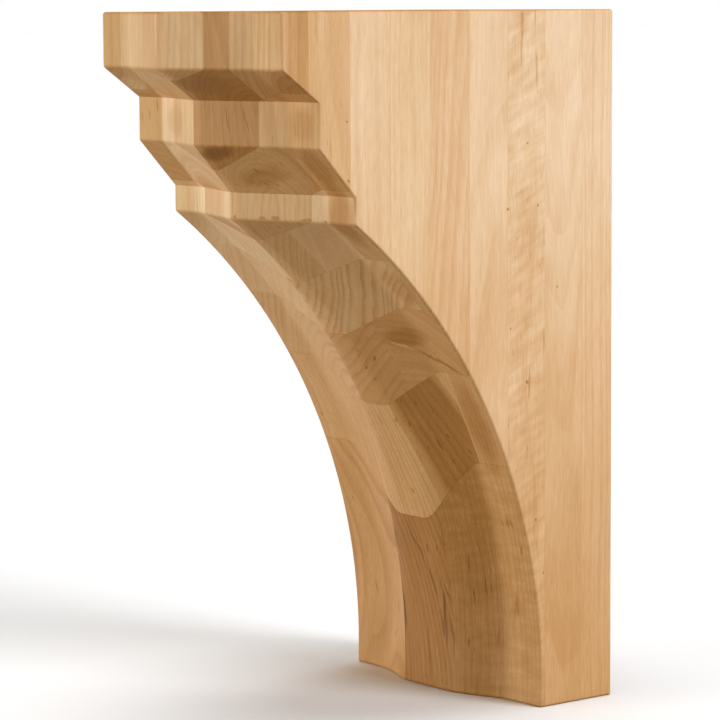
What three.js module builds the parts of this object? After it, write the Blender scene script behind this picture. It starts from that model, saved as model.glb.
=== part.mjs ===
// Wooden corbel bracket: one glued-up block of hardwood. Its front is cut to three
// stepped tiers over a long cove, and runs out in the middle to a raised crown that is
// a narrow ridge on the tiers and a broad flat at the foot, between two flat margins.
//
// Millimetres, +Z up. The back stands on the wall at y = 0 and the front faces -Y.
// The origin is the middle of the back face, where the bracket is held.

import * as THREE from 'three';
import { mergeGeometries, mergeVertices } from 'three/addons/utils/BufferGeometryUtils.js';

// Block
const height = 304.8;
const width = 130;

// Tiers, from the top down: how far the margins reach out from the wall, and the heights
// of the upright face and of the slanted underside below it
const topTier = { reach: 181, faceHeight: 23.7, undersideHeight: 13.3 };
const middleTier = { reach: 162.6, faceHeight: 18.9, undersideHeight: 20.5 };
const lowTier = { reach: 143.9, faceHeight: 11.4, undersideHeight: 0 };
const tierEdgeRadius = 3;

// Cove: it starts at the lowest tier's edge and stands upright a little above the foot
const footReach = 42.1;
const springHeight = 11.6;

// Raised front, between the margins: on the tiers, and at the foot
const onTiers = { margin: 20, crown: 4.7, rise: 14.6, softness: 1.5 };
const atFoot = { margin: 23, crown: 37, rise: 9.6, softness: 8 };

// Fineness of the rounded stretches
const coveSteps = 36;
const edgeSteps = 3;
const softSteps = 4;

const maple = new THREE.MeshStandardMaterial({ color: 0xd3a673, roughness: 0.55, metalness: 0 });

const top = height / 2;
const foot = -height / 2;
const tiers = [topTier, middleTier, lowTier];
const tierHeight = (tier) => tier.faceHeight + tier.undersideHeight;
const coveTop = top - tiers.reduce((sum, tier) => sum + tierHeight(tier), 0);
const spring = foot + springHeight;

// A cove is an arc from a tier's edge that stands upright at the spring line. The
// distance out from the wall is its first coordinate, the height its second.
function coveArc(reachAtTop, reachAtSpring) {
  const out = reachAtTop - reachAtSpring;
  const down = coveTop - spring;
  const radius = (out * out + down * down) / (2 * out);
  const centre = new THREE.Vector2(reachAtSpring + radius, spring);
  const start = Math.PI - Math.asin(down / radius);
  const end = Math.PI + Math.asin(springHeight / radius);
  return {
    points: new THREE.Path().absarc(centre.x, centre.y, radius, start, end).getPoints(coveSteps),
    reachAt: (z) => centre.x - Math.sqrt(radius * radius - (z - centre.y) ** 2),
  };
}

const marginCove = coveArc(lowTier.reach, footReach);
const crownCove = coveArc(lowTier.reach + onTiers.rise, footReach + atFoot.rise);

// The arc that eases one outer corner of the outline
function easedCorner(before, corner, after) {
  const back = before.clone().sub(corner).normalize();
  const on = after.clone().sub(corner).normalize();
  const halfAngle = Math.acos(back.dot(on)) / 2;
  const tangent = tierEdgeRadius / Math.tan(halfAngle);
  const start = corner.clone().addScaledVector(back, tangent);
  const end = corner.clone().addScaledVector(on, tangent);
  const bisector = back.add(on).normalize();
  const centre = corner.clone().addScaledVector(bisector, tierEdgeRadius / Math.sin(halfAngle));
  const from = start.clone().sub(centre).angle();
  const to = end.clone().sub(centre).angle();
  const arc = new THREE.Path().absarc(centre.x, centre.y, tierEdgeRadius, from, to, true);
  return arc.getPoints(edgeSteps);
}

// The outline of the margins, from the top front corner down to the foot
function marginOutline() {
  const corners = [];
  let z = top;
  for (const tier of tiers) {
    corners.push(new THREE.Vector2(tier.reach, z), new THREE.Vector2(tier.reach, z - tier.faceHeight));
    z -= tierHeight(tier);
  }
  const cove = marginCove.points.slice(1);
  const outline = corners.flatMap((corner, index) => {
    const isTierEdge = index % 2 === 1;
    if (!isTierEdge) return [corner];
    return easedCorner(corners[index - 1], corner, corners[index + 1] ?? cove[0]);
  });
  const lowestEased = outline.at(-1).y;
  return [...outline, ...cove.filter((point) => point.y < lowestEased)];
}

// The section across the front at one height: half of it, from the side to the middle,
// as distance in from the side and stand-off from the margin
function halfSection(z) {
  const down = THREE.MathUtils.clamp((coveTop - z) / (coveTop - foot), 0, 1);
  const blend = (key) => THREE.MathUtils.lerp(onTiers[key], atFoot[key], down);
  const rise = down > 0 ? crownCove.reachAt(z) - marginCove.reachAt(z) : onTiers.rise;
  const margin = blend('margin');
  const crownEdge = (width - blend('crown')) / 2;
  const softness = Math.min(blend('softness'), blend('crown') / 2, (crownEdge - margin) / 2, margin);
  const side = new THREE.Vector2(0, 0);
  const marginEdge = new THREE.Vector2(margin, 0);
  const ridge = new THREE.Vector2(crownEdge, rise);
  const middle = new THREE.Vector2(width / 2, rise);
  return [side, ...softCorner(side, marginEdge, ridge, softness),
    ...softCorner(marginEdge, ridge, middle, softness), middle];
}

function softCorner(before, corner, after, softness) {
  const start = corner.clone().add(before.clone().sub(corner).setLength(softness));
  const end = corner.clone().add(after.clone().sub(corner).setLength(softness));
  return new THREE.QuadraticBezierCurve(start, corner, end).getPoints(softSteps);
}

// One row of points across the front, from the left side to the right
function frontRow({ x: reach, y: z }) {
  const half = halfSection(z);
  const left = half.map((p) => new THREE.Vector3(p.x - width / 2, -reach - p.y, z));
  const right = half.slice(0, -1).map((p) => new THREE.Vector3(width / 2 - p.x, -reach - p.y, z));
  return [...left, ...right.reverse()];
}

// The curved front: a flat grid, bent so that its points lie on the rows
function frontSkin(rows) {
  const skin = new THREE.PlaneGeometry(1, 1, rows[0].length - 1, rows.length - 1);
  rows.flat().forEach((point, index) => skin.attributes.position.setXYZ(index, ...point));
  return skin;
}

// A flat face through points that run anticlockwise as seen from outside. "across" and
// "up" pick the face's two axes out of a point.
function flatFace(points, across, up) {
  const outline = points.map((p) => new THREE.Vector2(across(p), up(p)));
  const face = new THREE.BufferGeometry().setFromPoints(points);
  face.setIndex(THREE.ShapeUtils.triangulateShape(outline, []).flat());
  return face;
}

function corbelGeometry() {
  const rows = marginOutline().map(frontRow);
  const wallCorner = (x, z) => new THREE.Vector3(x, 0, z);
  const topLeft = wallCorner(-width / 2, top);
  const topRight = wallCorner(width / 2, top);
  const footLeft = wallCorner(-width / 2, foot);
  const footRight = wallCorner(width / 2, foot);
  const leftEdge = rows.map((row) => row[0]);
  const rightEdge = rows.map((row) => row.at(-1));
  const faces = [
    frontSkin(rows),
    flatFace([topLeft, ...leftEdge, footLeft], (p) => -p.y, (p) => p.z),
    flatFace([footRight, ...rightEdge.toReversed(), topRight], (p) => p.y, (p) => p.z),
    flatFace([...rows[0], topRight, topLeft], (p) => p.x, (p) => p.y),
    flatFace([footLeft, footRight, ...rows.at(-1).toReversed()], (p) => p.x, (p) => -p.y),
    flatFace([topRight, footRight, footLeft, topLeft], (p) => -p.x, (p) => p.z),
  ];
  for (const face of faces) {
    face.deleteAttribute('normal');
    face.deleteAttribute('uv');
  }
  const body = mergeVertices(mergeGeometries(faces));
  body.computeVertexNormals();
  return body;
}

const corbel = new THREE.Mesh(corbelGeometry(), maple);
corbel.name = 'corbel';

const bracket = new THREE.Group();
bracket.add(corbel);

export default bracket;
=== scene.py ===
"""Wooden corbel bracket: a block glued up from maple staves, sawn and sanded to three
stepped tiers over a long cove, with a raised crown down the middle of its front.

Metres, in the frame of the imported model: the back stands on the wall at y = 0, the
front faces -Y, and the origin is the middle of the back face.
"""

import math
from collections import namedtuple

import bmesh
import bpy
from mathutils import Matrix, Vector


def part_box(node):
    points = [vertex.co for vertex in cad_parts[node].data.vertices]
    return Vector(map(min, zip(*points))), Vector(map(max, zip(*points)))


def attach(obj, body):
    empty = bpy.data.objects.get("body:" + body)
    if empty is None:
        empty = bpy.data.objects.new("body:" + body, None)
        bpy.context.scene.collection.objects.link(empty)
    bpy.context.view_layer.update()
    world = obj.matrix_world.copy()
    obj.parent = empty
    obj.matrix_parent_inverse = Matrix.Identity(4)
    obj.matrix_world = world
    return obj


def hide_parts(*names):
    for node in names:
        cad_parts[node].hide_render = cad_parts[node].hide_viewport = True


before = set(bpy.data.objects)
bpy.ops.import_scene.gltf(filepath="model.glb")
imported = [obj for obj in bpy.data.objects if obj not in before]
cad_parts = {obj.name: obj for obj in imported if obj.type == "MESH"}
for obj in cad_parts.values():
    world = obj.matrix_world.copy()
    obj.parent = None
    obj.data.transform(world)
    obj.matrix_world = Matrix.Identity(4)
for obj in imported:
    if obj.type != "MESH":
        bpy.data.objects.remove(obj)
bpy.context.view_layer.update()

# The block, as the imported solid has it
low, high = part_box("corbel")
half_width = high.x
foot, top = low.z, high.z
deepest = -low.y

# Tiers, from the top down: how far the margins reach out from the wall, and the heights
# of the upright face and of the slanted underside below it
Tier = namedtuple("Tier", "reach face underside")
tiers = [
    Tier(reach=0.1810, face=0.0237, underside=0.0133),
    Tier(reach=0.1626, face=0.0189, underside=0.0205),
    Tier(reach=0.1439, face=0.0114, underside=0.0),
]
tier_edge_radius = 0.002

# Cove: it starts at the lowest tier's edge and stands upright a little above the foot
foot_reach = 0.0421
spring_height = 0.0116

# Raised front, between the margins: on the tiers, and at the foot
Raised = namedtuple("Raised", "margin crown rise softness")
on_tiers = Raised(margin=0.020, crown=0.0047, rise=0.0146, softness=0.0015)
at_foot = Raised(margin=0.023, crown=0.037, rise=0.0096, softness=0.008)

# Sanded arrises
arris = 0.0012
arris_segments = 3

# Fineness of the rounded stretches
cove_steps = 56
edge_steps = 5
soft_steps = 6

# Two places closer than this are the same, in metres
tolerance = 1e-5

# Edges that turn further than the first are sanded; those that turn less than the
# second are shaded as round
arris_angle = math.radians(45)
smooth_angle = math.radians(35)

mm_per_metre = 1000

cove_top = top - sum(tier.face + tier.underside for tier in tiers)
spring = foot + spring_height


# Shape

def blend(name, z):
    """A width of the raised front at one height: steady on the tiers, even down the cove."""
    down = max(0.0, (cove_top - z) / (cove_top - foot))
    start, end = getattr(on_tiers, name), getattr(at_foot, name)
    return start + (end - start) * down


def cove_arc(reach_at_top, reach_at_spring):
    """Radius and centre, as (reach, height), of the arc that stands upright at the spring."""
    out = reach_at_top - reach_at_spring
    down = cove_top - spring
    radius = (out * out + down * down) / (2 * out)
    return radius, (reach_at_spring + radius, spring)


margin_arc = cove_arc(tiers[-1].reach, foot_reach)
crown_arc = cove_arc(tiers[-1].reach + on_tiers.rise, foot_reach + at_foot.rise)


def cove_reach(arc, z):
    """How far a cove reaches out from the wall at one height."""
    radius, (centre_reach, centre_z) = arc
    return centre_reach - math.sqrt(radius ** 2 - (z - centre_z) ** 2)


def rise_at(z):
    """How far the crown stands off the margins at one height."""
    if z >= cove_top:
        return on_tiers.rise
    return cove_reach(crown_arc, z) - cove_reach(margin_arc, z)


def eased_corner(before, corner, after):
    """The arc that eases one outer corner of the outline, as a list of points."""
    back, on = (before - corner).normalized(), (after - corner).normalized()
    half_angle = back.angle(on) / 2
    centre = corner + (back + on).normalized() * (tier_edge_radius / math.sin(half_angle))
    start = corner + back * (tier_edge_radius / math.tan(half_angle)) - centre
    turn = math.pi - 2 * half_angle
    points = []
    for step in range(edge_steps + 1):
        angle = -turn * step / edge_steps
        cos, sin = math.cos(angle), math.sin(angle)
        turned = Vector((start.x * cos - start.y * sin, start.x * sin + start.y * cos))
        points.append(centre + turned)
    return points


def cove_points():
    """The cove's margin from its top to the foot, in even steps along the arc."""
    radius, (centre_reach, centre_z) = margin_arc
    start = math.asin((cove_top - spring) / radius)
    end = -math.asin(spring_height / radius)
    angles = [start + (end - start) * step / cove_steps for step in range(cove_steps + 1)]
    return [
        Vector((centre_reach - radius * math.cos(angle), centre_z + radius * math.sin(angle)))
        for angle in angles
    ]


def outline():
    """The margins' outline, as (reach, height) from the top to the foot."""
    corners = []
    z = top
    for tier in tiers:
        corners.append(Vector((tier.reach, z)))
        corners.append(Vector((tier.reach, z - tier.face)))
        z -= tier.face + tier.underside
    cove = cove_points()[1:]
    line = []
    for index, corner in enumerate(corners):
        is_tier_edge = index % 2 == 1
        if not is_tier_edge:
            line.append(corner)
            continue
        after = corners[index + 1] if index + 1 < len(corners) else cove[0]
        line += eased_corner(corners[index - 1], corner, after)
    return line + [point for point in cove if point.y < line[-1].y]


def column_places(z):
    """Where the section bends at one height, as distances in from the side."""
    margin, softness = blend("margin", z), blend("softness", z)
    crown_edge = half_width - blend("crown", z) / 2
    spread = [2 * step / soft_steps - 1 for step in range(soft_steps + 1)]
    return [margin + softness * s for s in spread] + [crown_edge + softness * s for s in spread]


def stand_off(column, z):
    """How far a column of the section stands off the margins at one height."""
    margin, softness, rise = blend("margin", z), blend("softness", z), rise_at(z)
    crown_edge = half_width - blend("crown", z) / 2
    slope = rise / (crown_edge - margin)
    bend, step = divmod(column, soft_steps + 1)
    share = step / soft_steps
    if bend == 0:
        return slope * softness * share ** 2
    return rise - slope * softness * (1 - share) ** 2


# Modelling steps

def deselect_everything():
    for other in bpy.context.selected_objects:
        other.select_set(False)


def open_mesh(piece):
    """The mesh under edit, for picking vertices, edges and faces by their place."""
    return bmesh.from_edit_mesh(piece.data)


def pick(piece, kind, wanted):
    """Selects the vertices, edges or faces that are wanted, and nothing else."""
    bpy.ops.mesh.select_mode(type=kind)
    bpy.ops.mesh.select_all(action="DESELECT")
    mesh = open_mesh(piece)
    parts = {"VERT": mesh.verts, "EDGE": mesh.edges, "FACE": mesh.faces}[kind]
    for part in parts:
        if wanted(part):
            part.select_set(True)
    mesh.select_flush_mode()
    bmesh.update_edit_mesh(piece.data)


def saw_blank():
    """The glued-up block, before any shaping."""
    deselect_everything()
    bpy.ops.mesh.primitive_cube_add(
        size=1,
        location=(0, -deepest / 2, 0),
        scale=(2 * half_width, deepest, top - foot),
    )
    piece = bpy.context.object
    piece.name = piece.data.name = "corbel_wood"
    bpy.ops.object.transform_apply(location=True, rotation=True, scale=True)
    return piece


def cut_levels(piece, rows):
    """Level cuts right through the block at each row of the outline."""
    for row in rows:
        if foot < row.y < top:
            bpy.ops.mesh.select_all(action="SELECT")
            bpy.ops.mesh.bisect(plane_co=(0, 0, row.y), plane_no=(0, 0, 1))


def cut_columns(piece):
    """Cuts along the margins and the crown: upright on the tiers, slanted on the cove."""
    tier_places = column_places(cove_top)
    foot_places = column_places(foot)
    middle = half_width
    for near, far in zip(tier_places + [middle], foot_places + [middle]):
        for side in (-1, 1) if near < middle else (1,):
            at_top = Vector((side * (half_width - near), 0, cove_top))
            at_foot_line = Vector((side * (half_width - far), 0, foot))
            pick(piece, "FACE", lambda face: face.calc_center_median().z > cove_top)
            bpy.ops.mesh.bisect(plane_co=at_top, plane_no=(1, 0, 0))
            slant = at_foot_line - at_top
            pick(piece, "FACE", lambda face: face.calc_center_median().z < cove_top)
            bpy.ops.mesh.bisect(plane_co=at_top, plane_no=(slant.z, 0, -slant.x))
    bpy.ops.mesh.select_all(action="SELECT")
    bpy.ops.mesh.remove_doubles(threshold=tolerance)


def push_back_rows(piece, rows):
    """Every row of the front goes back to the outline of the margins."""
    for row in rows:
        pick(piece, "VERT", lambda v: v.co.y < -deepest + tolerance and abs(v.co.z - row.y) < tolerance)
        bpy.ops.transform.translate(value=(0, deepest - row.x, 0))


def raise_columns(piece, rows):
    """Between the margins, each column of each row comes out to its place."""
    middle_column = 2 * (soft_steps + 1) - 1
    for row in rows:
        places = column_places(row.y)
        for column, place in enumerate(places):
            reach = half_width - place

            def on_column(vert):
                across = abs(vert.co.x)
                level = abs(vert.co.z - row.y) < tolerance and vert.co.y < -arris / 10
                if column == middle_column:
                    return level and across < reach + tolerance
                return level and abs(across - reach) < tolerance

            pick(piece, "VERT", on_column)
            bpy.ops.transform.translate(value=(0, -stand_off(column, row.y), 0))


def ease_arrises(piece):
    """Sands the long outer edges of the sides, the top, the foot and the back."""
    def on_outer_edge(edge):
        if len(edge.link_faces) != 2:
            return False
        ends = [vert.co for vert in edge.verts]
        one, other = [face.normal for face in edge.link_faces]
        outer = any((
            all(abs(abs(end.x) - half_width) < tolerance for end in ends),
            all(end.y > -tolerance for end in ends),
            all(end.z > top - tolerance for end in ends),
            all(end.z < foot + tolerance for end in ends),
        ))
        return outer and one.angle(other, 0) > arris_angle

    pick(piece, "EDGE", on_outer_edge)
    bpy.ops.mesh.bevel(offset=arris, segments=arris_segments, profile=0.5)


def finish_surface(piece):
    """Merges what meets, turns every face outwards and smooths the rounded stretches."""
    bpy.ops.mesh.select_all(action="SELECT")
    bpy.ops.mesh.remove_doubles(threshold=tolerance)
    bpy.ops.mesh.normals_make_consistent(inside=False)
    bpy.ops.object.mode_set(mode="OBJECT")
    bpy.ops.object.shade_smooth_by_angle(angle=smooth_angle)
    weighted = piece.modifiers.new("even_shading", "WEIGHTED_NORMAL")
    weighted.keep_sharp = True
    bpy.ops.object.modifier_apply(modifier=weighted.name)


def make_corbel():
    rows = outline()
    piece = saw_blank()
    bpy.ops.object.mode_set(mode="EDIT")
    cut_levels(piece, rows)
    cut_columns(piece)
    push_back_rows(piece, rows)
    raise_columns(piece, rows)
    ease_arrises(piece)
    finish_surface(piece)
    return piece


# Finishes

# The block is glued up from layers of boards, ripped to staves, with the grain upright.
# The cut list is in millimetres. Each layer starts at its glue face's distance from the
# wall and names its staves from the -X side to the +X side: the place of the right-hand
# edge, where the heart of the tree would stand (across, out from the wall) and how it
# leans, the tone of the wood from 0, pale, to 1, dark, and the outer and inner radius of
# a darker band of heartwood and its tone. Warmth runs from -1, yellow, to 1, pink.
Stave = namedtuple("Stave", "edge pith lean tone band band_tone warmth rings streaks figure")


def stave(edge, pith, tone, lean=(0, 0), band=(0, 0), band_tone=0.4, warmth=0, rings=0.4,
          streaks=0, figure=0.1):
    return Stave(edge, pith, lean, tone, band, band_tone, warmth, rings, streaks, figure)


near_side = 65
first_layer = 18.4
layer_thickness = 21.3
layers = [
    [stave(-22, (-90, 95), 0.20, warmth=0.2),
     stave(21, (30, -120), 0.16),
     stave(near_side, (52, -150), 0.15, warmth=0.1, rings=0.35)],
    [stave(-30, (-60, 140), 0.18),
     stave(12, (10, -90), 0.24, warmth=0.4),
     stave(near_side, (-22, 31), 0.15, lean=(0.05, 0.02), band=(140, 86), band_tone=0.20,
           rings=0.3)],
    [stave(-19, (-32, 112), 0.18, lean=(0.07, 0.12), warmth=0.2, rings=0.75),
     stave(17, (-75, 20), 0.46, lean=(-0.15, 0), warmth=0.3, rings=0.9, streaks=1),
     stave(near_side, (-150, 70), 0.21, band=(195, 160), band_tone=0.43, streaks=0.5, figure=1)],
    [stave(-19.4, (-120, 60), 0.13, warmth=0.25),
     stave(46, (88, 115), 0.12, lean=(0.05, 0.04), band=(80, 58), band_tone=0.52,
           rings=0.7, streaks=0.5),
     stave(near_side, (150, 60), 0.17, lean=(0.04, 0), rings=0.4)],
    [stave(-10, (32, -19), 0.12, lean=(0.08, 0.06), rings=0.5),
     stave(24, (32, -19), 0.27, lean=(0.08, 0.06), streaks=0.3, rings=0.7),
     stave(near_side, (10, 20), 0.25, lean=(-0.1, 0), warmth=0.2, rings=0.4)],
    [stave(-9, (140, -140), 0.06, lean=(0.04, 0.3), rings=0.3),
     stave(58.5, (140, -140), 0.12, lean=(0.04, 0.3), rings=1.1),
     stave(near_side, (150, 20), 0.20, warmth=-0.15, rings=0.25)],
    [stave(-3, (-70, 152), 0.0, band=(22, 0), band_tone=0.18, warmth=-0.2, rings=0.3),
     stave(20.6, (90, 40), 0.17, warmth=-0.2, rings=0.5),
     stave(47, (140, 60), 0.11, warmth=0.2, rings=0.2),
     stave(near_side, (-30, 60), 0.21, rings=0.3)],
    [stave(-47, (-60, 130), 0.32, warmth=-0.4),
     stave(-3, (-22, 128), 0.10, band=(28, 0), band_tone=0.24, rings=0.3),
     stave(near_side, (17, 154), 0.25, lean=(0.03, -0.08), band=(120, 25), band_tone=0.31,
           warmth=-0.15, streaks=0.3, rings=0.4)],
    [stave(-3, (-66, 195), 0.19, band=(20, 0), band_tone=0.34, warmth=-0.3, rings=0.5),
     stave(34, (24, 148), 0.51, lean=(0.02, 0.1), warmth=0.2, rings=0.5),
     stave(near_side, (62, 160), 0.25, band=(18, 0), band_tone=0.50, warmth=-0.1, rings=0.8)],
    [stave(-5, (-60, 120), 0.30, rings=0.3),
     stave(near_side, (40, 90), 0.23, rings=0.7)],
]
pith_range = 300

# Gum streaks, in millimetres: both ends of each, as its place across the block and its
# distance down the front from the top, measured along the margins; its half width; and
# how much darker it is. They lie where the raised front cuts through the wood.
Streak = namedtuple("Streak", "start end width tone")
streaks_down_front = [
    # On the lower cove, near the crown
    Streak((-6.2, 278), (4.1, 298.5), 0.9, 0.30),
    Streak((3.5, 296), (9.3, 313), 1.1, 0.30),
    Streak((-19.4, 279), (-13, 293), 1.3, 0.16),
    Streak((13, 303), (18, 314.5), 0.7, 0.30),
    Streak((10, 319), (10.5, 330), 1.7, 0.24),
    Streak((15, 316), (17, 341), 0.6, 0.26),
    Streak((-7.6, 281), (-0.5, 314), 0.7, 0.12),
    Streak((-0.5, 312), (0, 351), 0.8, 0.12),
    # On the lower cove, to its sides
    Streak((28, 303), (28.5, 313), 0.6, 0.30),
    Streak((35, 298), (35.4, 308), 0.6, 0.28),
    Streak((33.8, 279), (34, 289), 0.6, 0.20),
    Streak((24.4, 327), (24.8, 332), 0.7, 0.30),
    Streak((-24.6, 317), (-25, 324), 1.4, 0.20),
    Streak((-33, 337), (-28, 332), 1.0, 0.18),
    Streak((-49, 311), (-48, 320), 1.0, 0.20),
    # On the middle of the cove
    Streak((26.5, 231), (29.8, 239), 0.8, 0.28),
    Streak((33, 228.5), (34.5, 232), 0.8, 0.28),
    Streak((41.5, 236), (44, 239), 0.8, 0.28),
    Streak((4.3, 259.5), (4.6, 263), 0.9, 0.30),
    Streak((-2.2, 222), (-1.4, 229), 1.0, 0.14),
    Streak((-60.6, 229), (-60, 231.5), 1.0, 0.30),
    Streak((-56, 271), (-56, 274), 0.8, 0.20),
    # On the upper cove: short flecks, then the swirl's dark line and its light edge
    Streak((5, 198), (8.5, 195.5), 0.7, 0.30),
    Streak((12.5, 193), (16, 190), 0.7, 0.30),
    Streak((8, 204), (9, 202.5), 0.6, 0.25),
    Streak((36, 183), (63, 197), 1.0, 0.30),
    Streak((25, 180), (38, 184.5), 1.0, -0.25),
    # On the tiers
    Streak((19.8, 77.5), (20.8, 80), 0.7, 0.28),
    Streak((20.5, 85.8), (21.6, 88), 0.7, 0.28),
    Streak((34.5, 74), (35.5, 76), 0.7, 0.25),
    Streak((25, 87), (25.6, 89), 0.7, 0.20),
    Streak((14.8, 47.5), (17, 60), 0.5, 0.30),
    Streak((23, 48), (26.6, 61), 0.5, 0.26),
    Streak((-51, 47.5), (-49.8, 53), 0.8, 0.25),
    Streak((-57, 51), (-55.5, 57), 0.8, 0.20),
    Streak((-62, 52), (-61, 58), 0.6, 0.20),
]

# How far past its ends a streak fades out, as a share of its length, and how deep the
# wood is stained at least
streak_overrun = 1.15
stain_depth = 5

# Patches on the front, in millimetres: darker wood, painted shadow, painted shade and painted light.
# Each gives the middle's place across and above the middle of the block, the half width, the half
# height, and how much darker it is
Shade = namedtuple("Shade", "across up width height tone")
# Height of the painted shadow along the torn edge under the lowest tier
torn_edge_shadow = 65.5
outer_margin, outer_margin_width = 54.5, 10.5
shades = [
    # Painted shadow in the torn lower edge of the lowest tier, with a nick at each end
    Shade(0.5, torn_edge_shadow, 1.0, 1.0, 0.35),
    Shade(15, torn_edge_shadow, 2.5, 1.0, 0.25),
    Shade(21, torn_edge_shadow, 3.0, 1.3, 0.30),
    Shade(36, torn_edge_shadow, 4.0, 1.0, 0.25),
    Shade(45, torn_edge_shadow, 1.0, 1.0, 0.35),
    # Broad shades in single staves, and one patch of painted light
    Shade(7, 93, 16, 5, 0.36),
    Shade(22, 83.5, 22, 7, 0.18),
    Shade(16, 122, 18, 8, 0.10),
    # Painted light: lighter under the far side of the top tier, where light bounces up under it
    Shade(-56, 121, 10, 8, -0.10),
    Shade(-28, 106, 18, 10, 0.12),
    Shade(36, 12.5, 19, 7.5, 0.22),
    # Down the near margin, fading out at the side face: partly the darker cut grain of the margin's
    # stave, partly painted shade, the front of the margin getting less light than the side
    Shade(outer_margin, 106, outer_margin_width, 10, 0.14),
    Shade(outer_margin, 88.5, outer_margin_width, 14, 0.22),
    Shade(outer_margin, 66, outer_margin_width, 22, 0.32),
    Shade(outer_margin, 37, outer_margin_width, 14, 0.14),
    Shade(outer_margin, -25, outer_margin_width, 32, 0.26),
]

# Small dark pits on the +X side: distance from the wall, height, radius
Pit = namedtuple("Pit", "depth up radius")
pits = [
    Pit(43.9, 68.5, 0.8), Pit(60.8, 67.7, 0.9), Pit(59.7, 16.4, 0.8), Pit(50, -7.3, 1.0),
    Pit(32.8, 32.4, 0.8), Pit(45, -68.6, 0.9), Pit(40.8, -92.6, 0.8), Pit(148, 107.4, 0.7),
    Pit(147, 82.8, 0.9), Pit(50, 95.4, 0.6),
]
pit_depth = 2
pit_tone = 0.4

# Where a mark's tone starts to fade, as a share of the way to its rim, and how far its
# rim wavers
mark_core = 0.35
waver_pace = (0.2, 0.2, 0.09)
waver_reach = 3.2

# Growth rings, in millimetres
ring_spacing = 2.9
ring_rise = (0.35, 0.94)
ring_fall = (0.96, 1.0)
ring_unevenness = 2.6
band_softness = 3.5
slow_wander_size, slow_wander = (55, 55, 150), 9.0
fast_wander_size, fast_wander = (9, 9, 60), 1.6
ring_patch_size = (14, 14, 70)

# Grain: the size of its patches in millimetres, across, out from the wall and up
fibre_size = (0.6, 0.6, 8)
strand_size = (1.6, 1.6, 32)
mottle_size = (22, 22, 60)
dash_size = (0.9, 0.9, 5.5)
gum_size = (4.2, 4.2, 48)
curl_size = (12, 12, 3.4)
curl_slant = math.radians(28)

# How much darker each of them makes the wood
ring_tone = 0.20
year_tone = 0.13
fibre_tone = 0.21
strand_tone = 0.09
mottle_tone = 0.20
dash_tone = 0.3
gum_tone = 0.42
curl_tone = 0.28
# Faces that point up or down: partly the darker end grain, partly painted shade on the undersides
end_grain_and_shade_tone = 0.24
glue_tone = 0.10

# The wood darkens towards the foot, and a little more at the middle: from height, to
# height, and by how much
foot_drift = (-170.0, 60.0, 0.24)
middle_drift = (25.0, 90.0, 0.055)

# Glue lines between the layers: core and rim, as shares of a layer's thickness
glue_core, glue_rim = 0.002, 0.007

# Two numbers that set every stave's own grain apart from the others'
seed_weights = (7.3, 3.7, 11.0)
seed_shifts = (370.0, 190.0, 810.0)

# The wood's colour at tone 0, as red, green and blue; how fast each fades as the tone
# rises; and how much faster still in dark wood
pale_wood = (0.857, 0.68, 0.478)
fading = (0.85, 1.9, 2.98)
dark_fading = (0.39, 0.0, 0.56)
tone_stops = (-0.1, 0.1, 0.3, 0.5, 0.75, 1.0, 1.3)

# What warmth does to the colour
yellow_tint = (0.97, 1.0, 0.80)
plain_tint = (1, 1, 1)
pink_tint = (1.03, 0.965, 0.93)

# Surface
gloss = 0.2
roughness = 0.46
relief_strength = 0.35
relief_height = 0.00025


class Bench:
    """The node tree of one finish, with short calls for the nodes it is made of."""

    def __init__(self, name):
        self.material = bpy.data.materials.new(name)
        self.material.use_nodes = True
        self.tree = self.material.node_tree
        self.shader = self.tree.nodes["Principled BSDF"]

    def node(self, kind, inputs, **settings):
        made = self.tree.nodes.new("ShaderNode" + kind)
        for name, value in settings.items():
            setattr(made, name, value)
        for socket, value in inputs.items():
            if isinstance(value, bpy.types.NodeSocket):
                self.tree.links.new(value, made.inputs[socket])
            else:
                made.inputs[socket].default_value = value
        return made

    def maths(self, operation, *values):
        return self.node("Math", dict(enumerate(values)), operation=operation).outputs[0]

    def total(self, *values):
        result = values[0]
        for value in values[1:]:
            result = self.maths("ADD", result, value)
        return result

    def product(self, *values):
        result = values[0]
        for value in values[1:]:
            result = self.maths("MULTIPLY", result, value)
        return result

    def between(self, value, start, end, low=0.0, high=1.0):
        """Low up to the start, high past the end, and an eased slope from one to the other."""
        inputs = {
            "Value": value, "From Min": start, "From Max": end, "To Min": low, "To Max": high,
        }
        return self.node("MapRange", inputs, interpolation_type="SMOOTHSTEP").outputs[0]

    def noise(self, place, grain, detail=2.0):
        """Noise from -0.5 to 0.5, in patches of the size that grain gives along each axis."""
        pace = [1 / size for size in grain]
        scaled = self.node("VectorMath", {0: place, 1: pace}, operation="MULTIPLY")
        inputs = {"Vector": scaled.outputs[0], "Scale": 1.0, "Detail": detail}
        return self.maths("SUBTRACT", self.node("TexNoise", inputs).outputs[0], 0.5)

    def noise_along(self, value, detail=1.0):
        """Noise from -0.5 to 0.5 along one line."""
        inputs = {"W": value, "Scale": 1.0, "Detail": detail}
        made = self.node("TexNoise", inputs, noise_dimensions="1D")
        return self.maths("SUBTRACT", made.outputs[0], 0.5)

    def mix(self, share, first, second):
        inputs = {0: share, 6: first, 7: second}
        return self.node("Mix", inputs, data_type="RGBA").outputs[2]

    def ramp(self, value, stops, interpolation="LINEAR"):
        """A colour ramp through (place, colour) stops."""
        made = self.node("ValToRGB", {0: value})
        made.color_ramp.interpolation = interpolation
        elements = made.color_ramp.elements
        elements.remove(elements[-1])
        for index, (place, colour) in enumerate(stops):
            element = elements[0] if index == 0 else elements.new(place)
            element.position = place
            element.color = (*colour, 1)
        return made.outputs[0]

    def split(self, colour):
        return self.node("SeparateColor", {0: colour}).outputs


def coded(value, span):
    """A number from -span to span as one from 0 to 1, as a colour ramp can hold it."""
    return (value + span) / (2 * span)


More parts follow.
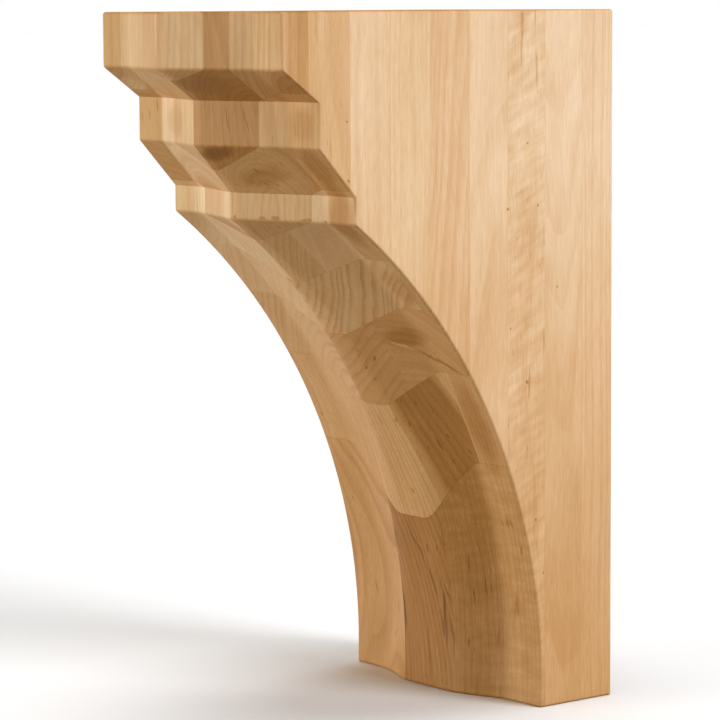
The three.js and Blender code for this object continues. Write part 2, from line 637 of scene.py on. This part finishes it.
def stave_table(bench, across, layer_masks, numbers):
    """Three numbers of the stave that a point lies in."""
    share = bench.maths("MULTIPLY_ADD", across, 0.5 / near_side, 0.5)
    result = None
    for index, layer in enumerate(layers):
        starts = [-near_side] + [piece.edge for piece in layer]
        stops = [((start + near_side) / (2 * near_side), numbers(piece))
                 for start, piece in zip(starts, layer)]
        staves = bench.ramp(share, stops, "CONSTANT")
        result = staves if result is None else bench.mix(layer_masks[index], result, staves)
    return bench.split(result)


def margin_reach(z):
    """How far the margins reach out from the wall at one height."""
    below = top
    for tier, lower in zip(tiers, tiers[1:]):
        if z > below - tier.face:
            return tier.reach
        below -= tier.face + tier.underside
        if z > below:
            return lower.reach + (z - below) * (tier.reach - lower.reach) / tier.underside
    if z > cove_top:
        return tiers[-1].reach
    return cove_reach(margin_arc, z)


def front_depth(across, up):
    """How far the raised front stands off the wall at one place, all in millimetres."""
    z = up / mm_per_metre
    inward = half_width - abs(across) / mm_per_metre
    margin = blend("margin", z)
    crown_edge = half_width - blend("crown", z) / 2
    share = min(max((inward - margin) / (crown_edge - margin), 0), 1)
    return (margin_reach(z) + share * rise_at(z)) * mm_per_metre


def height_down_front(distance):
    """The height of a place this far down the front along the margins, in millimetres."""
    z, left = top, distance / mm_per_metre
    for tier, lower in zip(tiers, tiers[1:] + tiers[-1:]):
        slant = math.hypot(tier.reach - lower.reach, tier.underside)
        for length, drop in ((tier.face, tier.face), (slant, tier.underside)):
            if left < length:
                return (z - drop * left / length) * mm_per_metre
            z, left = z - drop, left - length
    radius, (_, centre_z) = margin_arc
    start = math.asin((cove_top - centre_z) / radius)
    return (centre_z + radius * math.sin(start - left / radius)) * mm_per_metre


def streak_spot(streak):
    """The middle, the slant, the half sizes and the tone of a streak."""
    (start_x, start_s), (end_x, end_s) = streak.start, streak.end
    start_z, end_z = height_down_front(start_s), height_down_front(end_s)
    across, up = (start_x + end_x) / 2, (start_z + end_z) / 2
    length = streak_overrun * math.hypot(end_x - start_x, start_z - end_z) / 2
    slant = -math.atan((end_x - start_x) / (start_z - end_z))
    size = (streak.width, max(stain_depth, length), length)
    return (across, front_depth(across, up), up), slant, size, streak.tone


def shade_spot(shade):
    """The middle, the slant, the half sizes and the tone of a shade."""
    middle = (shade.across, front_depth(shade.across, shade.up), shade.up)
    size = (shade.width, max(stain_depth, shade.height), shade.height)
    return middle, 0, size, shade.tone


def pit_spot(pit):
    """The middle, the slant, the half sizes and the tone of a pit."""
    return (near_side, pit.depth, pit.up), 0, (pit_depth, pit.radius, pit.radius), pit_tone


def wavered(bench, place):
    """The place, pushed about a little, so that no mark has an even rim."""
    paced = bench.node("VectorMath", {0: place, 1: waver_pace}, operation="MULTIPLY")
    noise = bench.node("TexNoise", {"Vector": paced.outputs[0], "Scale": 1.0, "Detail": 2.0})
    centred = {0: noise.outputs["Color"], 1: (0.5, 0.5, 0.5)}
    shift = bench.node("VectorMath", centred, operation="SUBTRACT")
    inputs = {0: shift.outputs[0], 1: (waver_reach, waver_reach, waver_reach), 2: place}
    return bench.node("VectorMath", inputs, operation="MULTIPLY_ADD").outputs[0]


def marks_tone(bench, place):
    """How much darker the gum streaks, the shades and the pits make the wood; among the shades are
    painted shade, painted shadow and painted light.
    """
    uneven = wavered(bench, place)

    def spot(middle, slant, size, tone):
        inputs = {"Vector": uneven, "Location": middle, "Rotation": (0, slant, 0), "Scale": size}
        near = bench.node("Mapping", inputs, vector_type="TEXTURE").outputs[0]
        distance = bench.node("VectorMath", {0: near}, operation="LENGTH").outputs["Value"]
        return bench.between(distance, mark_core, 1.0, tone, 0.0)

    spots = [streak_spot(streak) for streak in streaks_down_front]
    spots += [shade_spot(shade) for shade in shades]
    spots += [pit_spot(pit) for pit in pits]
    return bench.total(*[spot(*values) for values in spots])


def stave_sockets(bench, across, depth):
    """The numbers of the stave that a point lies in, each as a socket."""
    masks = [
        bench.maths("GREATER_THAN", depth, first_layer + layer_thickness * (index - 1))
        for index in range(len(layers))
    ]
    tables = {
        ("pith_x", "pith_d", "streaks"): lambda piece: (
            coded(piece.pith[0], pith_range), coded(piece.pith[1], pith_range), piece.streaks),
        ("tone", "band_tone", "warmth"): lambda piece: (
            piece.tone, piece.band_tone, coded(piece.warmth, 1)),
        ("lean_x", "lean_d", "rings"): lambda piece: (
            coded(piece.lean[0], 1), coded(piece.lean[1], 1), piece.rings),
        ("band_outer", "band_inner", "figure"): lambda piece: (
            piece.band[0] / pith_range, piece.band[1] / pith_range, piece.figure),
    }
    sockets = {}
    for names, numbers in tables.items():
        sockets.update(zip(names, stave_table(bench, across, masks, numbers)))
    return sockets


def stave_seed(bench, here):
    """A number from 0 to 1 that differs from stave to stave."""
    numbers = (here["pith_x"], here["pith_d"], here["tone"])
    weighted = [bench.product(number, weight) for number, weight in zip(numbers, seed_weights)]
    return bench.maths("FRACT", bench.total(*weighted))


def own_place(bench, place, seed):
    """The place, moved by its own distance in each stave."""
    shifts = {axis: bench.product(seed, shift) for axis, shift in enumerate(seed_shifts)}
    shift = bench.node("CombineXYZ", shifts).outputs[0]
    return bench.node("VectorMath", {0: place, 1: shift}, operation="ADD").outputs[0]


def pith_radius(bench, place, own, here):
    """The distance from the heart of the tree, a little uneven."""
    maths, total, product = bench.maths, bench.total, bench.product
    across, depth, up = bench.node("SeparateXYZ", {0: place}).outputs

    def from_pith(value, code, lean_code):
        pith = maths("MULTIPLY_ADD", code, 2.0 * pith_range, -float(pith_range))
        lean = maths("MULTIPLY_ADD", lean_code, 2.0, -1.0)
        return maths("SUBTRACT", maths("SUBTRACT", value, pith), product(lean, up))

    side_x = from_pith(across, here["pith_x"], here["lean_x"])
    side_d = from_pith(depth, here["pith_d"], here["lean_d"])
    straight = maths("SQRT", total(product(side_x, side_x), product(side_d, side_d)))
    slow = product(bench.noise(own, slow_wander_size, 1), slow_wander)
    fast = product(bench.noise(own, fast_wander_size, 1), fast_wander)
    return total(straight, slow, fast)


def stave_tone(bench, radius, here):
    """The stave's own tone, with its band of darker heartwood."""
    maths, product = bench.maths, bench.product
    past_outer = maths(
        "MULTIPLY_ADD", here["band_outer"], float(pith_range), product(radius, -1.0))
    past_inner = maths("MULTIPLY_ADD", here["band_inner"], -float(pith_range), radius)
    inside = bench.between(past_outer, -band_softness, band_softness)
    outside = bench.between(past_inner, -band_softness, band_softness)
    darker = maths("SUBTRACT", here["band_tone"], here["tone"])
    return bench.total(here["tone"], product(inside, outside, darker))


def ring_lines(bench, radius, seed):
    """Growth rings, unevenly spaced: 1 on the dark line at the end of each year."""
    maths, total, product = bench.maths, bench.total, bench.product
    uneven = bench.noise_along(total(product(radius, 0.08), product(seed, 90.0)))
    years = total(product(radius, 1 / ring_spacing), product(uneven, ring_unevenness))
    turn = maths("FRACT", years)
    rise = bench.between(turn, *ring_rise)
    return product(rise, bench.between(turn, *ring_fall, 1.0, 0.0))


def glue_lines(bench, depth):
    """Thin lines where two layers meet."""
    maths = bench.maths
    offset = 0.5 - first_layer / layer_thickness
    phase = maths("FRACT", maths("MULTIPLY_ADD", depth, 1 / layer_thickness, offset))
    away = maths("ABSOLUTE", maths("SUBTRACT", phase, 0.5))
    return bench.between(away, glue_core, glue_rim, 1.0, 0.0)


def curly_figure(bench, own):
    """Ripples that run aslant over the grain."""
    inputs = {0: own, 1: (0, 0, 0), 3: curl_slant}
    slanted = bench.node("VectorRotate", inputs, rotation_type="X_AXIS").outputs[0]
    return bench.noise(slanted, curl_size, 2)


def wood_colour(tone):
    """The wood's colour at one tone."""
    return tuple(
        pale * math.exp(-fade * tone - dark_fade * tone ** 2)
        for pale, fade, dark_fade in zip(pale_wood, fading, dark_fading)
    )


def tinted_wood(bench, tone, warmth):
    """The colour of the wood from its tone, turned to yellow or pink by its warmth."""
    lowest, span = tone_stops[0], tone_stops[-1] - tone_stops[0]
    stops = [((stop - lowest) / span, wood_colour(stop)) for stop in tone_stops]
    wood = bench.ramp(bench.maths("MULTIPLY_ADD", tone, 1 / span, -lowest / span), stops)
    tint = bench.ramp(warmth, [(0.0, yellow_tint), (0.5, plain_tint), (1.0, pink_tint)])
    inputs = {0: 1.0, 6: wood, 7: tint}
    return bench.node("Mix", inputs, data_type="RGBA", blend_type="MULTIPLY").outputs[2]


def make_maple():
    """Sanded maple, as a solid block of staves that every surface cuts through."""
    bench = Bench("maple")
    maths, total, product = bench.maths, bench.total, bench.product
    between, noise = bench.between, bench.noise
    coordinates = bench.node("TexCoord", {})
    to_millimetres = (mm_per_metre, -mm_per_metre, mm_per_metre)
    inputs = {0: coordinates.outputs["Object"], 1: to_millimetres}
    place = bench.node("VectorMath", inputs, operation="MULTIPLY").outputs[0]
    across, depth, up = bench.node("SeparateXYZ", {0: place}).outputs

    here = stave_sockets(bench, across, depth)
    seed = stave_seed(bench, here)
    own = own_place(bench, place, seed)
    radius = pith_radius(bench, place, own, here)
    line = ring_lines(bench, radius, seed)
    patchy = between(noise(own, ring_patch_size), -0.25, 0.25, 0.35, 1.0)
    years = bench.noise_along(total(product(radius, 0.21), product(seed, 50.0)), 2.0)

    fibre = noise(own, fibre_size, 3)
    strand = noise(own, strand_size, 2)
    mottle = noise(own, mottle_size, 2)
    dash = between(noise(own, dash_size, 1), 0.2, 0.28)
    gum = between(noise(own, gum_size, 2), 0.15, 0.24)
    dashes = product(dash, maths("MULTIPLY_ADD", here["streaks"], 0.8, 0.12))
    upright = bench.node("SeparateXYZ", {0: coordinates.outputs["Normal"]}).outputs[2]
    # Darker where the surface points up or down: the real darker end grain, and painted shade on the
    # undersides of the tiers and the cove
    end_grain_and_shade = maths("POWER", maths("ABSOLUTE", upright), 0.9)

    tone = total(
        stave_tone(bench, radius, here),
        between(up, *foot_drift, 0.0),
        between(up, *middle_drift, 0.0),
        product(line, here["rings"], patchy, ring_tone),
        product(years, year_tone),
        product(fibre, fibre_tone),
        product(strand, strand_tone),
        product(mottle, mottle_tone),
        product(dashes, dash_tone),
        product(gum, here["streaks"], gum_tone),
        product(curly_figure(bench, own), here["figure"], curl_tone),
        product(end_grain_and_shade, end_grain_and_shade_tone),
        product(glue_lines(bench, depth), glue_tone),
        marks_tone(bench, place),
    )

    rough = total(roughness, product(fibre, 0.2), product(end_grain_and_shade, 0.16))
    relief = total(
        product(fibre, 0.6), product(strand, 0.4), product(line, -0.15), product(dash, -0.6))
    inputs = {"Height": relief, "Strength": relief_strength, "Distance": relief_height}
    bump = bench.node("Bump", inputs).outputs[0]
    shader, links = bench.shader, bench.tree.links
    shader.inputs["Specular IOR Level"].default_value = gloss
    links.new(tinted_wood(bench, tone, here["warmth"]), shader.inputs["Base Color"])
    links.new(rough, shader.inputs["Roughness"])
    links.new(bump, shader.inputs["Normal"])
    return bench.material


# Studio

floor_size = 60.0
floor_tone = 0.97
floor_roughness = 0.9
room_light = 0.13
horizon_light = 1.0
horizon_start, horizon_end = 0.03, 0.10

# Each lamp: the compass direction that it stands in, in degrees from the front towards
# the +X side, its height in degrees, its strength, how wide and so how soft it is, and
# its colour
Lamp = namedtuple("Lamp", "direction height strength width colour")
lamps = {
    "left_lamp": Lamp(-27, 2, 2.15, 40, (1, 0.92, 0.72)),
    "low_left_lamp": Lamp(-80, -12, 0.36, 40, (1, 0.95, 0.86)),
    "right_lamp": Lamp(108, 18, 3.15, 30, (0.98, 1, 1.04)),
    "overhead_lamp": Lamp(0, 90, 1.8, 30, (1, 1, 1)),
}


def make_floor():
    deselect_everything()
    bpy.ops.mesh.primitive_plane_add(size=floor_size, location=(0, 0, foot))
    floor = bpy.context.object
    floor.name = "floor"
    paper = bpy.data.materials.new("pale_floor")
    paper.use_nodes = True
    shader = paper.node_tree.nodes["Principled BSDF"]
    shader.inputs["Base Color"].default_value = (floor_tone, floor_tone, floor_tone, 1)
    shader.inputs["Roughness"].default_value = floor_roughness
    floor.data.materials.append(paper)
    floor.visible_diffuse = False
    floor.visible_shadow = False


def make_light(name, lamp):
    light = bpy.data.lights.new(name, "SUN")
    light.energy = lamp.strength
    light.color = lamp.colour
    light.angle = math.radians(lamp.width)
    holder = bpy.data.objects.new(name, light)
    bpy.context.scene.collection.objects.link(holder)
    tilt = math.radians(90 - lamp.height)
    holder.rotation_euler = (tilt, 0, math.radians(lamp.direction))


def make_room():
    """A dim room with a white horizon all round."""
    world = bpy.data.worlds.new("white_room")
    bpy.context.scene.world = world
    world.use_nodes = True
    tree = world.node_tree
    direction = tree.nodes.new("ShaderNodeTexCoord").outputs["Generated"]
    split = tree.nodes.new("ShaderNodeSeparateXYZ")
    height = tree.nodes.new("ShaderNodeMath")
    height.operation = "ABSOLUTE"
    strength = tree.nodes.new("ShaderNodeMapRange")
    strength.interpolation_type = "SMOOTHSTEP"
    strength.inputs["From Min"].default_value = horizon_start
    strength.inputs["From Max"].default_value = horizon_end
    strength.inputs["To Min"].default_value = horizon_light
    strength.inputs["To Max"].default_value = room_light
    background = tree.nodes["Background"]
    background.inputs["Color"].default_value = (1, 1, 1, 1)
    tree.links.new(direction, split.inputs[0])
    tree.links.new(split.outputs["Z"], height.inputs[0])
    tree.links.new(height.outputs[0], strength.inputs["Value"])
    tree.links.new(strength.outputs[0], background.inputs["Strength"])


def make_studio():
    make_room()
    for name, lamp in lamps.items():
        make_light(name, lamp)
    bpy.context.scene.view_settings.view_transform = "Standard"


# The camera stands to the right of the front and a little above the top
camera_place = Vector((1.0927, -0.9485, 0.1555))
camera_yaw = math.radians(51.87)
camera_pitch = math.radians(6.41)
camera_roll = math.radians(-0.33)
camera_lens = 158.75
camera_sensor = 36
camera_range = 100


def make_camera():
    lens = bpy.data.cameras.new("camera")
    lens.sensor_fit = "HORIZONTAL"
    lens.sensor_width = camera_sensor
    lens.lens = camera_lens
    lens.clip_end = camera_range
    camera = bpy.data.objects.new("camera", lens)
    bpy.context.scene.collection.objects.link(camera)
    level = math.cos(camera_pitch)
    ahead = Vector((
        -math.sin(camera_yaw) * level,
        math.cos(camera_yaw) * level,
        -math.sin(camera_pitch),
    ))
    right = Vector((math.cos(camera_yaw), math.sin(camera_yaw), 0))
    above = right.cross(ahead)
    roll = Matrix.Rotation(camera_roll, 3, -ahead)
    right, above = roll @ right, roll @ above
    camera.matrix_world = Matrix((
        (right.x, above.x, -ahead.x, camera_place.x),
        (right.y, above.y, -ahead.y, camera_place.y),
        (right.z, above.z, -ahead.z, camera_place.z),
        (0, 0, 0, 1),
    ))
    bpy.context.scene.camera = camera


make_camera()
corbel = make_corbel()
corbel.data.materials.append(make_maple())
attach(corbel, "root")
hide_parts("corbel")
make_floor()
make_studio()
